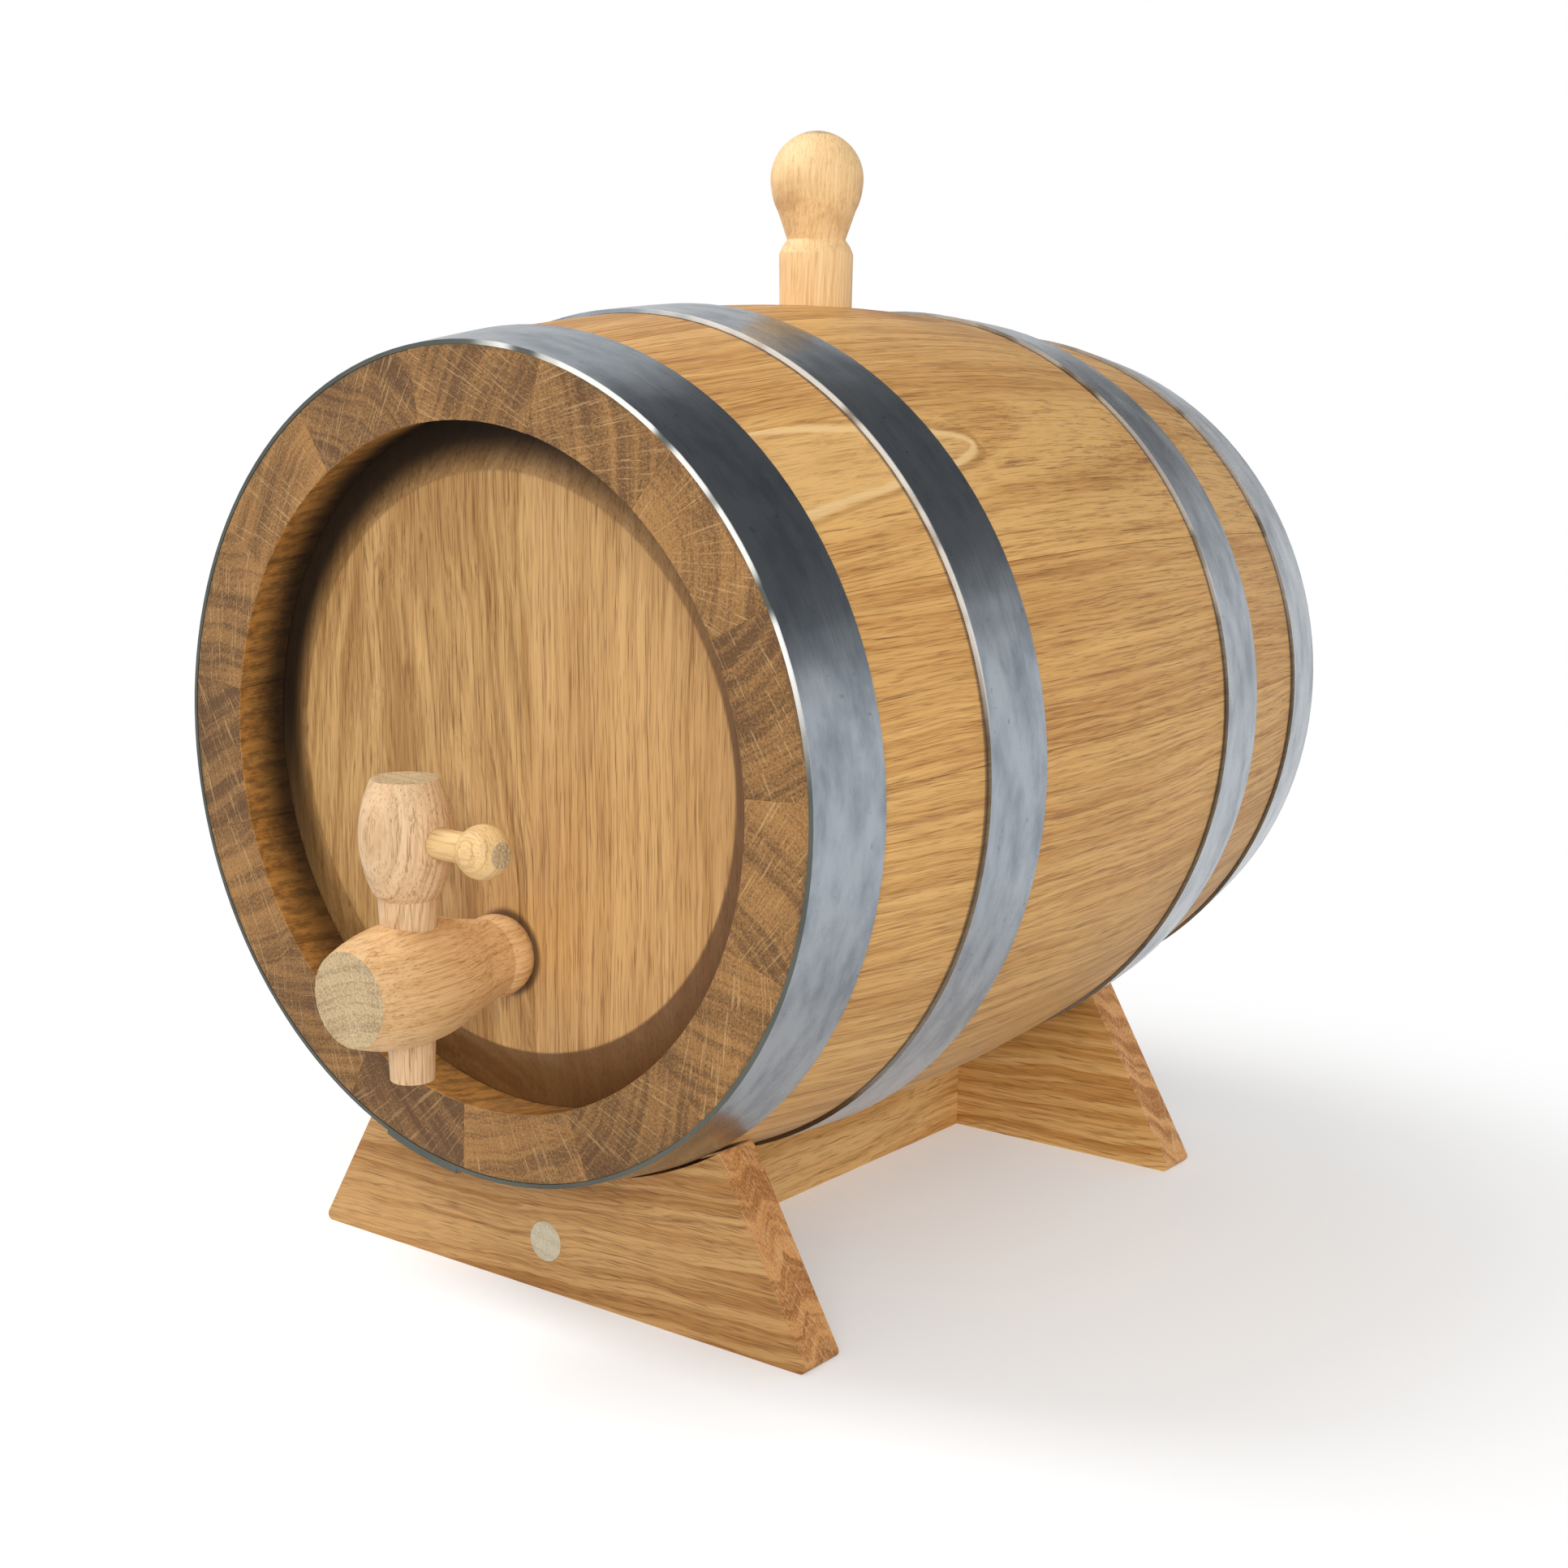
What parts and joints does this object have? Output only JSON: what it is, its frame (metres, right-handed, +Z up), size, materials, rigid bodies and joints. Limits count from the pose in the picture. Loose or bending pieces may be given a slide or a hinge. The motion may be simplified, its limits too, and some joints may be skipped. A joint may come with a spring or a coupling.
{
  "type": "oak cask liquor dispenser",
  "caption": "Small oak cask lying on a low wooden stand, bound with steel hoops, with a turned bung on top and a wooden tap with a turning key at the front.",
  "frame": {"origin": "on the floor under the cask's centre, in the middle of the stretcher's underside", "axes": "+Z up, the tapped front head faces -Y, +X to the right seen from the front"},
  "size_m": [0.212, 0.2866, 0.2859],
  "materials": {
    "stave_oak": "bare or lightly waxed wood",
    "head_oak": "bare or lightly waxed wood",
    "pin_wood": "bare or lightly waxed wood",
    "galvanised_steel": "dull galvanised",
    "stand_oak": "bare or lightly waxed wood",
    "tap_wood": "bare or lightly waxed wood",
    "bung_wood": "bare or lightly waxed wood"
  },
  "bodies": {
    "stand": {"front_cradle_board": "stand_oak", "rear_cradle_board": "stand_oak", "stretcher": "stand_oak", "front_dowel": "pin_wood", "rear_dowel": "pin_wood"},
    "cask": {"bung_stave": "stave_oak", "stave_02": "stave_oak", "stave_03": "stave_oak", "stave_04": "stave_oak", "stave_05": "stave_oak", "stave_06": "stave_oak", "stave_07": "stave_oak", "stave_08": "stave_oak", "stave_09": "stave_oak", "stave_10": "stave_oak", "stave_11": "stave_oak", "stave_12": "stave_oak", "stave_13": "stave_oak", "stave_14": "stave_oak", "stave_15": "stave_oak", "front_head_left_board": "head_oak", "front_head_middle_board": "head_oak", "front_head_right_board": "head_oak", "rear_head_left_board": "head_oak", "rear_head_middle_board": "head_oak", "rear_head_right_board": "head_oak", "front_head_pins": "pin_wood", "rear_head_pins": "pin_wood", "front_end_hoop": "galvanised_steel", "front_belly_hoop": "galvanised_steel", "rear_belly_hoop": "galvanised_steel", "rear_end_hoop": "galvanised_steel", "hoop_rivets": "galvanised_steel", "tap_body": "tap_wood"},
    "bung": {"bung": "bung_wood"},
    "key": {"tap_key": "tap_wood", "key_handle": "tap_wood"}
  },
  "joints": [
    {"name": "cask_lift", "type": "slide", "parent": "stand", "child": "cask", "axis": [0, 0, 1], "range_m": [0, 0.06]},
    {"name": "bung_pull", "type": "slide", "parent": "cask", "child": "bung", "axis": [0.0227, -0.0436, 0.9988], "range_m": [0, 0.04]},
    {"name": "key_turn", "type": "hinge", "parent": "cask", "child": "key", "pos_m": [-0.001, -0.14055, 0.08513], "axis": [0.0227, -0.0436, 0.9988], "continuous": true}
  ]
}
